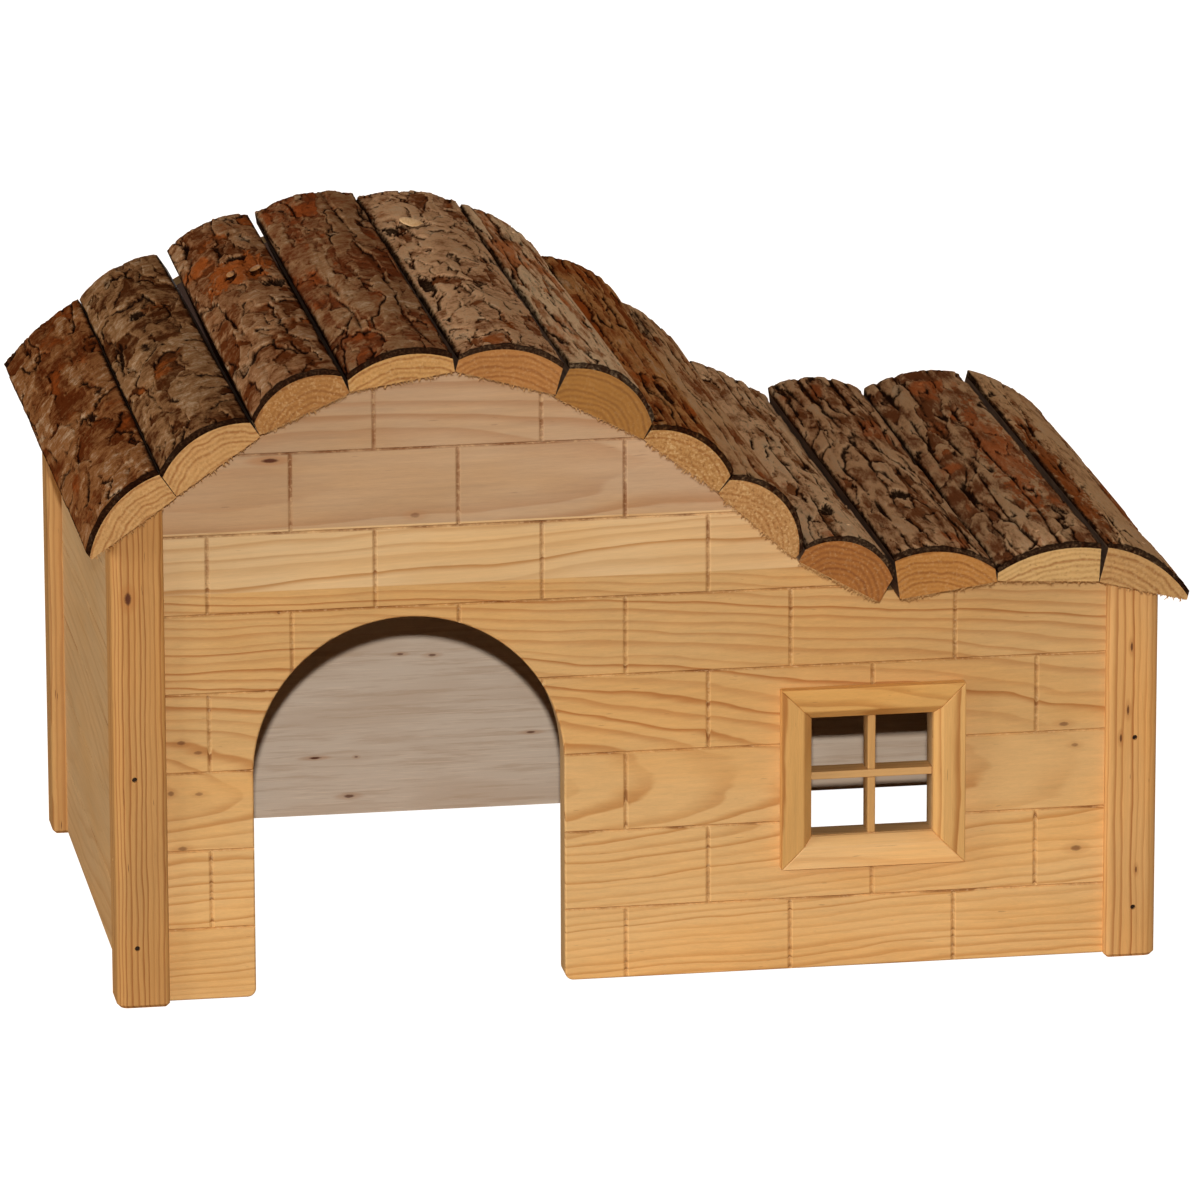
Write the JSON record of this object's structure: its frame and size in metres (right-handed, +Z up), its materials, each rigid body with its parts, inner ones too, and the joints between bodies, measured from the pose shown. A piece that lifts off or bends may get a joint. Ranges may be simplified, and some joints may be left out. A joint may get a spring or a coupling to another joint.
{
  "type": "wooden hamster house",
  "caption": "Free-standing small-pet house of scored pine boards between corner posts, with an arched entrance, a framed window and a wavy roof of bark slabs.",
  "frame": {"origin": "middle of the overall box on the surface that the house stands on", "axes": "+X to the right of the front, +Y to the rear, +Z up; the entrance and window face -Y"},
  "size_m": [0.2534, 0.164, 0.1536],
  "materials": {
    "pine_board": "planed bare pine, satin to matt, level grain, glued from strips",
    "pine_post": "planed bare pine, upright grain",
    "slab_wood": "rough sawn bare pine, ring arcs in the end grain",
    "bark": "natural flaky pine bark, matt",
    "window_wood": "planed bare pine trim",
    "brad_steel": "dull wire brads, heads sunk below the wood"
  },
  "bodies": {
    "root": {"front_panel": "pine_board", "rear_panel": "pine_board", "left_panel": "pine_board", "right_panel": "pine_board", "post_front_left": "pine_post", "post_front_right": "pine_post", "post_rear_left": "pine_post", "post_rear_right": "pine_post", "roof_slab_01": "slab_wood", "bark_01": "bark", "roof_slab_02": "slab_wood", "bark_02": "bark", "roof_slab_03": "slab_wood", "bark_03": "bark", "roof_slab_04": "slab_wood", "bark_04": "bark", "roof_slab_05": "slab_wood", "bark_05": "bark", "roof_slab_06": "slab_wood", "bark_06": "bark", "roof_slab_07": "slab_wood", "bark_07": "bark", "roof_slab_08": "slab_wood", "bark_08": "bark", "roof_slab_09": "slab_wood", "bark_09": "bark", "roof_slab_10": "slab_wood", "bark_10": "bark", "roof_slab_11": "slab_wood", "bark_11": "bark", "roof_slab_12": "slab_wood", "bark_12": "bark", "window_rail_top": "window_wood", "window_rail_right": "window_wood", "window_rail_bottom": "window_wood", "window_rail_left": "window_wood", "window_bar_upright": "window_wood", "window_bar_level": "window_wood", "side_panel_brads": "brad_steel", "front_panel_brads": "brad_steel", "rear_panel_brads": "brad_steel", "roof_brads_front": "brad_steel", "roof_brads_rear": "brad_steel"}
  },
  "joints": []
}
